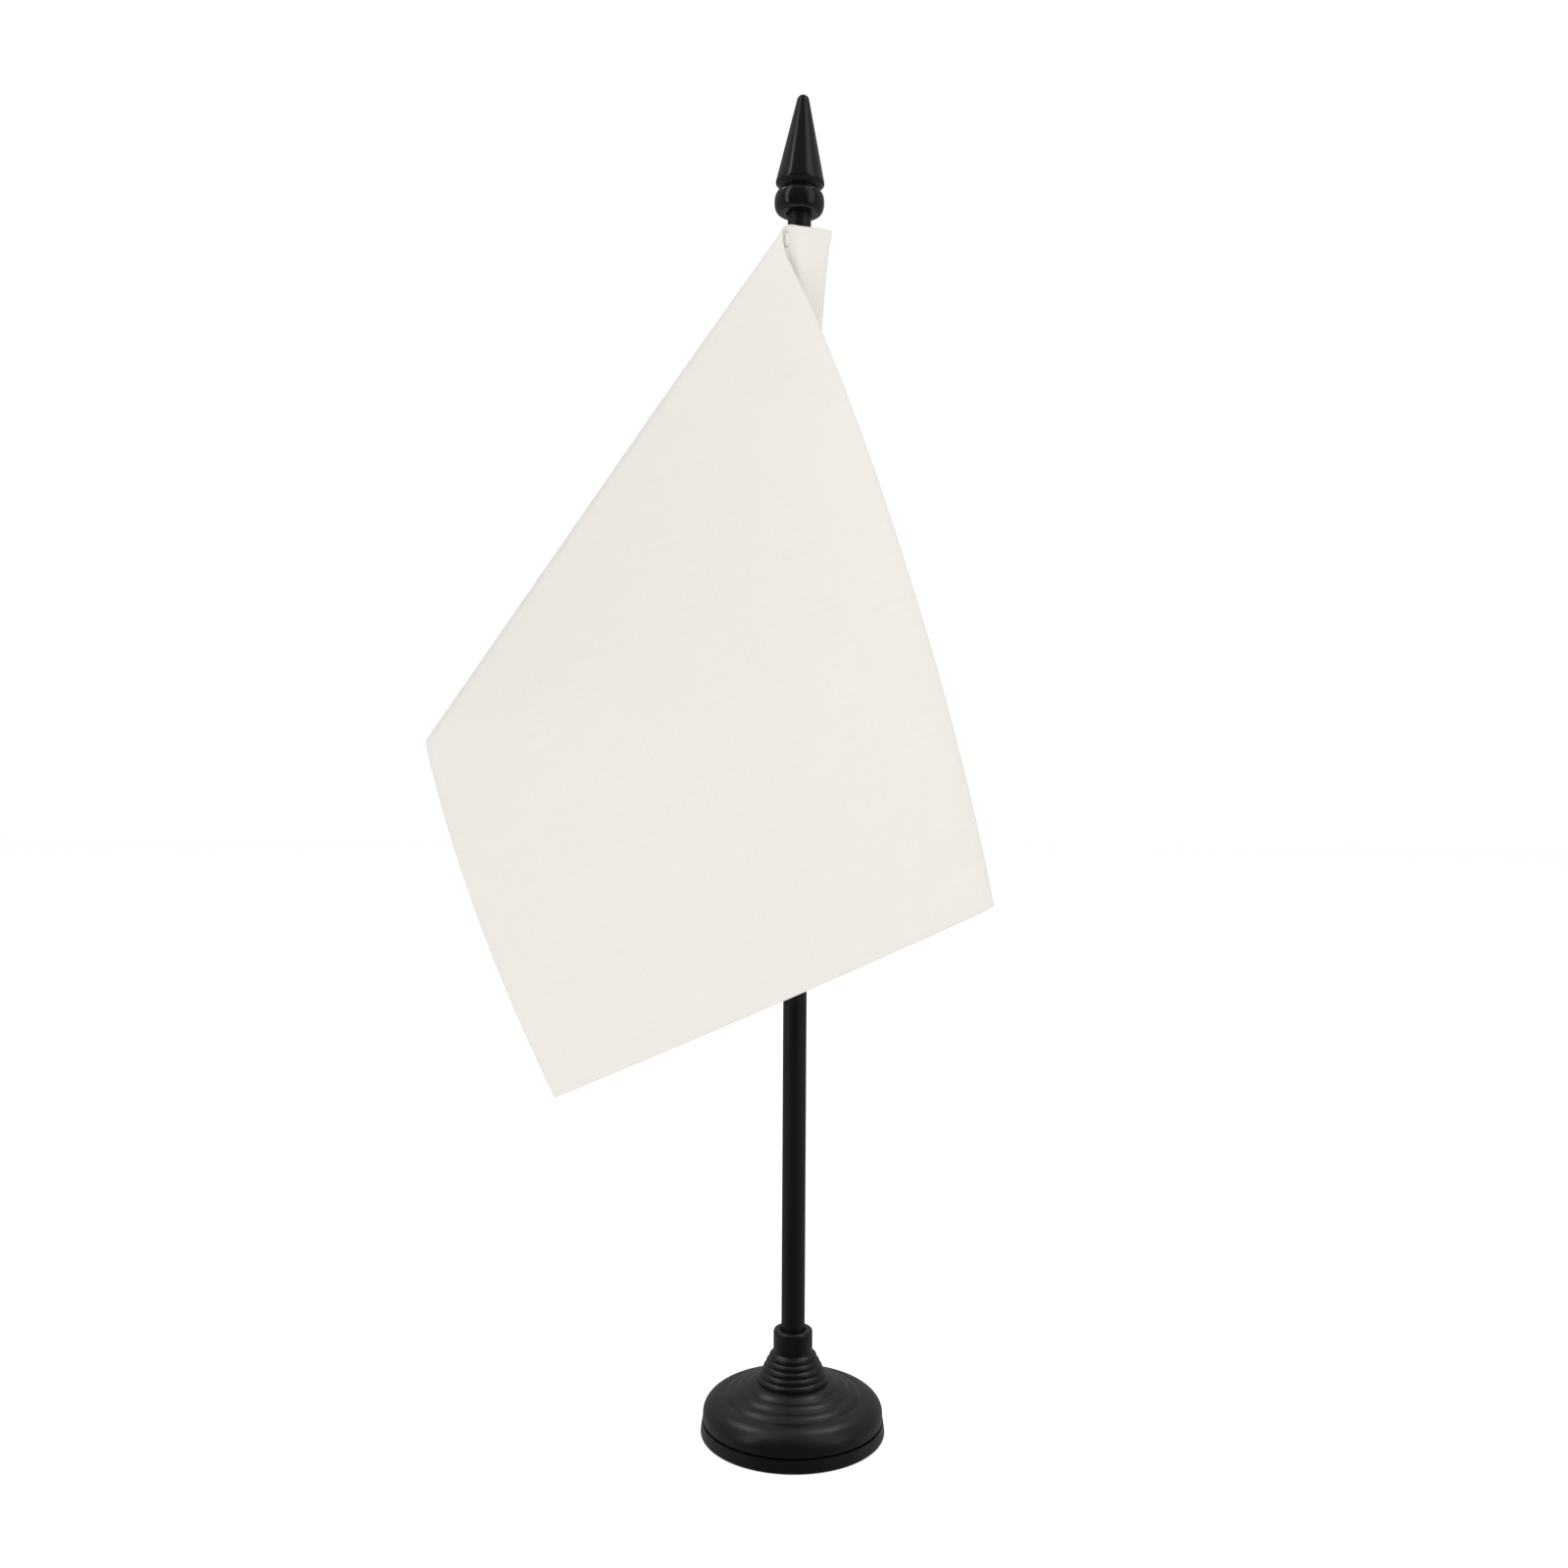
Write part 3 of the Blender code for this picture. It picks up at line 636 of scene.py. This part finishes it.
def panel_paths(down):
    """Each row's path from the seam to the fly, as rows x samples x 3, and where it meets the fold.

    A row keeps its length. It runs left behind the rod, turns about the slanted fold, and comes back down
    in front. The rows below it meet the fold further out. Near the sewn top the layers then lie closer
    together, and the front one droops where it leaves the fold.
    """
    ends = np.linspace(0.0, FLAG_LENGTH, ROW_SAMPLES)
    step = ends[1] - ends[0]
    along = (ends[:-1] + ends[1:])[None, :] / 2
    to_fold = FOLD_START + math.tan(FOLD_SLOPE) * down
    past = (along - to_fold) * math.cos(FOLD_SLOPE)
    tight = smooth_step((past + FOLD_HALF_WIDTH) / (2 * FOLD_HALF_WIDTH))
    widest = FLAG_LENGTH * math.cos(FOLD_SLOPE) - FOLD_HALF_WIDTH
    front = np.clip((past - FOLD_HALF_WIDTH) / widest, 0.0, 1.0)
    lower = down / FLAG_HEIGHT
    front_turn = FRONT_TURN[0] + (FRONT_TURN[1] - FRONT_TURN[0]) * lower
    turn = (FOLD_TURN * tight + front_turn * front)[..., None]

    start = np.array([-math.cos(BACK_SWING), math.sin(BACK_SWING), 0.0])
    fold = math.sin(FOLD_SLOPE) * start - math.cos(FOLD_SLOPE) * np.array([0.0, 0.0, 1.0])
    across = np.cross(start, fold)
    heading = start * np.cos(turn) + across * np.sin(turn) + fold * (fold @ start) * (1 - np.cos(turn))

    share = np.clip((along - to_fold) / (FLAG_LENGTH - to_fold), 0.0, 1.0)
    first = ROW_SWAY_TOP[0] * (1 - lower) + ROW_SWAY_BOTTOM[0] * lower
    last = ROW_SWAY_TOP[1] * (1 - lower) + ROW_SWAY_BOTTOM[1] * lower
    sway = (first * (1 - share) + last * share) * tight
    x = heading[..., 0] * np.cos(sway) - heading[..., 2] * np.sin(sway)
    z = heading[..., 0] * np.sin(sway) + heading[..., 2] * np.cos(sway)
    heading = np.stack([x, heading[..., 1], z], axis=-1)
    path = np.zeros((len(down), ROW_SAMPLES, 3))
    path[:, 1:] = np.cumsum(heading * step, axis=1)
    below_top = down - path[..., 2]
    path[..., 1] *= TOP_FLATNESS + (1 - TOP_FLATNESS) * smooth_step(below_top / TOP_FLAT_REACH)
    loose = smooth_step((ends - to_fold) * math.cos(FOLD_SLOPE) / FOLD_HALF_WIDTH)
    from_apex = np.hypot(path[..., 0], below_top)
    path[..., 2] -= DROOP * loose * np.clip(1.0 - from_apex / DROOP_REACH, 0.0, 1.0)
    return ends, path + seam_line(down)[:, None, :], to_fold[:, 0]


def seam_line(down):
    """Where the seam lies at each distance down the flag."""
    down = np.asarray(down).reshape(-1)
    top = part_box("flag_panel")[1].z - TOP_SAG
    return np.column_stack([
        SEAM_TOP[0] - math.sin(SEAM_LEAN) * down,
        np.full(len(down), SEAM_TOP[1]),
        top - math.cos(SEAM_LEAN) * down,
    ])


def panel_grid(down):
    """The panel's points, rows x columns x 3, and each point's distance along its row."""
    ends, path, to_fold = panel_paths(down[:, None])
    where = np.array([stations(fold) for fold in to_fold])
    grid = np.empty(where.shape + (3,))
    for row in range(len(down)):
        for k in range(3):
            grid[row, :, k] = np.interp(where[row], ends, path[row, :, k])
    return grid, where


def belt(circles, count):
    """Evenly spaced (x, y) points of the belt round circles (x, y, radius), from the first circle's front,
    by the right, to its back.
    """
    start = math.atan2(circles[0][1], circles[0][0])
    angles = start + np.linspace(0.0, 2 * math.pi, BELT_DIRECTIONS)
    reach = np.array([x * np.cos(angles) + y * np.sin(angles) + r for x, y, r in circles])
    nearest = reach.argmax(axis=0)
    chosen = np.array(circles)[nearest]
    outline = np.column_stack([
        chosen[:, 0] + chosen[:, 2] * np.cos(angles),
        chosen[:, 1] + chosen[:, 2] * np.sin(angles),
    ])
    others = np.flatnonzero(nearest)
    outline = outline[others[0] - 1:others[-1] + 2]
    lengths = np.concatenate([[0.0], np.cumsum(np.linalg.norm(np.diff(outline, axis=0), axis=1))])
    wanted = np.linspace(0.0, lengths[-1], count)
    return np.column_stack([np.interp(wanted, lengths, outline[:, k]) for k in range(2)])


def sleeve_grid(down, rod_radius):
    """The loop round the rod, rows x columns x 3, from the seam's front layer to its back layer."""
    seams = seam_line(down)
    rows = []
    for distance, (x, y, z) in zip(down, seams):
        fade = math.exp(-distance / SLEEVE_REACH_FADE)
        right = SLEEVE_REACH[1] + (SLEEVE_REACH[0] - SLEEVE_REACH[1]) * fade
        circles = [
            (x, y - LAYER_SPACING / 2, LAYER_SPACING / 2),
            (0.0, 0.0, rod_radius + SLEEVE_CLEARANCE + CLOTH / 2),
            (right - SLEEVE_TIP, 0.0, SLEEVE_TIP),
        ]
        outline = belt(circles, SLEEVE_COLUMNS)
        dip = eased(np.linspace(0.0, 1.0, SLEEVE_COLUMNS), SLEEVE_DIP_PLACES, SLEEVE_DIPS)
        dip *= math.exp(-distance / SLEEVE_DIP_FADE)
        rows.append(np.column_stack([outline, z - dip]))
    return np.array(rows)


def sheet_normals(surface):
    """Unit normals of a grid of points, rows x columns x 3."""
    normals = np.cross(np.gradient(surface, axis=1), np.gradient(surface, axis=0))
    return normals / np.linalg.norm(normals, axis=-1, keepdims=True)


def cloth_sheet(rod_radius):
    """The whole cut of cloth, rows x columns x 3, with each point's place on the flat cut and how far it
    lies from the row of needle holes.

    Its columns run from the free edge of the seam allowance round the rod to the seam, and on to the fly.
    """
    down = np.linspace(0.0, FLAG_HEIGHT, FLAG_ROWS)
    panel, along = panel_grid(down)
    sleeve = sleeve_grid(down, rod_radius)
    strip = slice(ALLOWANCE_COLUMNS, 0, -1)
    allowance = panel[:, strip] + sheet_normals(panel)[:, strip] * LAYER_SPACING
    surface = np.concatenate([allowance, sleeve[:, :-1], panel], axis=1)
    steps = np.linalg.norm(np.diff(sleeve, axis=1), axis=2)
    round_rod = -np.cumsum(steps[:, ::-1], axis=1)[:, ::-1]
    place = np.concatenate([round_rod[:, :1] - along[:, strip], round_rod, along], axis=1)
    flat = np.stack([place, np.broadcast_to(down[:, None], place.shape), np.zeros(place.shape)], axis=-1)
    from_pinch = np.minimum(-round_rod, round_rod - round_rod[:, :1])  # the nearer way round the loop
    from_seam = np.concatenate([
        along[:, strip] - STITCH_INSET,
        from_pinch + STITCH_INSET,
        along - STITCH_INSET,
    ], axis=1)
    return surface, flat, from_seam


def thickened(surface, thickness):
    """Points and faces of a sheet of even thickness with the surface in its middle."""
    rows, columns = surface.shape[:2]
    normals = sheet_normals(surface)
    sides = np.stack([surface + normals * thickness / 2, surface - normals * thickness / 2])
    index = np.arange(2 * rows * columns).reshape(2, rows, columns)
    near, far = index
    quads = [
        np.stack([near[:-1, :-1], near[:-1, 1:], near[1:, 1:], near[1:, :-1]], axis=-1).reshape(-1, 4),
        np.stack([far[:-1, :-1], far[1:, :-1], far[1:, 1:], far[:-1, 1:]], axis=-1).reshape(-1, 4),
    ]
    rim = np.concatenate([
        index[:, 0, :-1],
        index[:, :-1, -1],
        index[:, -1, :0:-1],
        index[:, :0:-1, 0],
    ], axis=1)
    after = np.roll(rim, -1, axis=1)
    quads.append(np.stack([rim[0], rim[1], after[1], after[0]], axis=-1))
    return sides.reshape(-1, 3), np.concatenate(quads).tolist()


def flag_cloth(finish, rod_radius):
    """The flag as one piece; both its faces carry the same places on the flat cut."""
    surface, flat, from_seam = cloth_sheet(rod_radius)
    points, faces = thickened(surface, CLOTH)
    return add_piece("flag_cloth", points, faces, finish, {
        "cloth": np.concatenate([flat.reshape(-1, 3)] * 2),
        "from_seam": np.concatenate([from_seam.ravel()] * 2),
    })


def strand(path, side, phase, radius):
    """Points and faces of one strand that winds round a path; side is the path's sideways direction."""
    path = np.asarray(path)
    tangent = np.gradient(path, axis=0)
    tangent /= np.linalg.norm(tangent, axis=1, keepdims=True)
    up = np.cross(tangent, side)
    up /= np.linalg.norm(up, axis=1, keepdims=True)
    across = np.cross(up, tangent)
    turn = phase + 2 * math.pi * STRAND_TURNS * np.linspace(0, 1, len(path))[:, None]
    centre = path + radius * (np.cos(turn) * across + np.sin(turn) * up)
    rounds = 2 * math.pi * np.arange(STRAND_SIDES) / STRAND_SIDES
    spokes = (np.cos(rounds)[None, :, None] * across[:, None]
              + np.sin(rounds)[None, :, None] * up[:, None])
    points = (centre[:, None] + radius * spokes).reshape(-1, 3)
    faces = []
    for i in range(len(path) - 1):
        for k in range(STRAND_SIDES):
            m = (k + 1) % STRAND_SIDES
            a, b = i * STRAND_SIDES, (i + 1) * STRAND_SIDES
            faces.append((a + k, a + m, b + m, b + k))
    last = (len(path) - 1) * STRAND_SIDES
    faces.append(tuple(range(STRAND_SIDES))[::-1])
    faces.append(tuple(last + k for k in range(STRAND_SIDES)))
    return points, faces


def seam_stitches(finish):
    """A stitch of two-strand thread on each side of the seam, between every two needle holes. Its ends
    dip into the holes.
    """
    points, faces = [], []
    first = STITCH / 2
    count = int((FLAG_HEIGHT - first) / STITCH)
    t = np.linspace(0.0, 1.0, STITCH_POINTS)
    lift = np.minimum(1.0, 6.0 * np.minimum(t, 1.0 - t)) ** 0.5
    surface_out = LAYER_SPACING / 2 + CLOTH / 2
    rise = surface_out * (0.2 + 0.8 * lift) + 1.6 * STRAND_RADIUS * lift
    for k in range(count):
        line = seam_line(first + STITCH * (k + t))
        for face in (-1.0, 1.0):
            path = line.copy()
            path[:, 0] -= STITCH_INSET
            path[:, 1] += -LAYER_SPACING / 2 + face * rise
            for phase in (0.0, math.pi):
                made, quads = strand(path, np.array([1.0, 0.0, 0.0]), phase, STRAND_RADIUS)
                faces += [tuple(len(points) + i for i in quad) for quad in quads]
                points += made.tolist()
    return add_piece("seam_stitches", points, faces, finish)


# ---------------------------------------------------------------- stage

def studio_floor():
    """A square of paper under the stand, which polished surfaces don't mirror."""
    mesh = bpy.data.meshes.new("studio_floor")
    half = FLOOR_HALF_WIDTH
    corners = [(-half, -half, 0), (half, -half, 0), (half, half, 0), (-half, half, 0)]
    mesh.from_pydata(corners, [], [(0, 1, 2, 3)])
    mesh.materials.append(floor_material())
    floor = bpy.data.objects.new("studio_floor", mesh)
    floor.location.z = cad_box[0].z - FLOOR_DROP
    floor.visible_glossy = False
    bpy.context.scene.collection.objects.link(floor)
    return floor


def soft_light(name, place, target, size, power, spread=180.0):
    """A softbox, size wide and high; spread, in degrees, is the cone that a grid in front lets out."""
    data = bpy.data.lights.new(name, "AREA")
    data.shape = "RECTANGLE"
    data.size, data.size_y = size
    data.energy = power
    data.spread = math.radians(spread)
    lamp = bpy.data.objects.new(name, data)
    lamp.location = place
    lamp.rotation_euler = (Vector(target) - Vector(place)).to_track_quat("-Z", "Y").to_euler()
    bpy.context.scene.collection.objects.link(lamp)
    return lamp


def studio_world():
    """White all round for the view and for soft light. Reflections show a bright sweep at the sides and
    behind the object, a dim room on the photographer's side, and a paler ceiling.
    """
    world = bpy.data.worlds.new("studio")
    world.use_nodes = True
    tree = world.node_tree
    tree.nodes.clear()
    rays = tree.nodes.new("ShaderNodeLightPath")
    round_scene = tree.nodes.new("ShaderNodeTexCoord").outputs["Generated"]
    direction = add_node(tree, "ShaderNodeSeparateXYZ", {0: round_scene})
    behind = remap(tree, direction.outputs[1], -0.75, 0.15, 0.0, SWEEP_RADIANCE - ROOM_RADIANCE)
    ceiling = ROOM_RADIANCE + CEILING_RADIANCE
    above = remap(tree, direction.outputs[2], 0.1, 0.9, ROOM_RADIANCE, ceiling)
    mirrored = math_node(tree, "ADD", behind, above)
    soft = add_node(tree, "ShaderNodeBackground", {
        "Color": (1.0, 0.998, 0.994, 1.0), "Strength": SOFT_STRENGTH,
    })
    reflected = add_node(tree, "ShaderNodeBackground", {
        "Color": (1.0, 0.995, 0.98, 1.0), "Strength": mirrored,
    })
    white = add_node(tree, "ShaderNodeBackground", {
        "Color": (1.0, 1.0, 1.0, 1.0), "Strength": WHITE_STRENGTH,
    })
    lit = add_node(tree, "ShaderNodeMixShader", {
        0: rays.outputs["Is Glossy Ray"], 1: soft.outputs[0], 2: reflected.outputs[0],
    })
    seen = add_node(tree, "ShaderNodeMixShader", {
        0: rays.outputs["Is Camera Ray"], 1: lit.outputs[0], 2: white.outputs[0],
    })
    output = tree.nodes.new("ShaderNodeOutputWorld")
    tree.links.new(seen.outputs[0], output.inputs["Surface"])
    bpy.context.scene.world = world


def studio_lights():
    """A tall softbox on each side in front, two gridded ones above the base, and a wash for the flag."""
    top = (0.0, 0.0, 0.40)
    flag = (0.0, 0.0, 0.20)
    foot = (0.0, 0.0, 0.02)
    soft_light("left_front", (-0.60, -0.36, 0.62), top, size=(0.13, 1.30), power=1.0)
    soft_light("right_front", (0.61, -0.43, 0.62), top, size=(0.42, 1.30), power=1.1)
    soft_light("left_overhead", (-0.39, 0.16, 0.69), foot, size=(0.25, 0.25), power=0.022, spread=30)
    soft_light("right_overhead", (0.27, 0.17, 0.75), foot, size=(0.25, 0.25), power=0.022, spread=30)
    wash = soft_light("front_wash", (0.10, -0.75, 1.05), flag, size=(0.90, 0.60), power=5.8)
    wash.visible_glossy = False


def studio_camera():
    """Level, at about half the stand's height, close enough for the base to be seen from above."""
    data = bpy.data.cameras.new("camera")
    data.sensor_width = CAMERA_SENSOR
    data.lens = CAMERA_LENS
    data.clip_start = 0.01
    camera = bpy.data.objects.new("camera", data)
    camera.location = CAMERA_PLACE
    camera.rotation_mode = "XYZ"
    camera.rotation_euler = (math.radians(90), CAMERA_ROLL, 0.0)
    bpy.context.scene.collection.objects.link(camera)
    bpy.context.scene.camera = camera


# ---------------------------------------------------------------- assembly

def place_piece(piece, body, slot, *nodes):
    """Puts a piece on its body in the place of CAD nodes; its slot argument is not used."""
    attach(piece, body)
    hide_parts(*nodes)


def build():
    """Every piece of the stand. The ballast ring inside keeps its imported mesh."""
    rod_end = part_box("pole")[1]
    rod_radius, rod_top = rod_end.x, rod_end.z
    bore = rod_radius + GAP
    moulded = black_plastic("moulded_black", (0.0034, 0.0034, 0.0035), roughness=0.34, grain=0.30, wear_and_highlight=0.5)
    glossy = black_plastic("gloss_black", (0.0038, 0.0032, 0.0029), roughness=0.19, grain=0.04, wear_and_highlight=0.35)

    place_piece(base_dome(moulded, bore), "base", "base_plastic", "base_shell")
    place_piece(base_cover(moulded), "base", "base_plastic", "base_plate")
    place_piece(rod(rod_plastic()), "pole", "pole_plastic", "pole")
    place_piece(finial_spike(glossy, bore, rod_top), "finial", "finial_plastic", "finial")
    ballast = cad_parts["ballast_disc"].data
    ballast.materials.clear()
    ballast.materials.append(zinc_steel())

    stitches = seam_stitches(thread_material())
    place_piece(stitches, "flag", "thread", "seam_thread")
    cloth = flag_cloth(flag_cloth_material(), rod_radius)
    place_piece(cloth, "flag", "flag_cloth", "flag_panel", "flag_sleeve")


studio_camera()
studio_world()
studio_lights()
studio_floor()
build()
bpy.context.scene.view_settings.view_transform = "Standard"
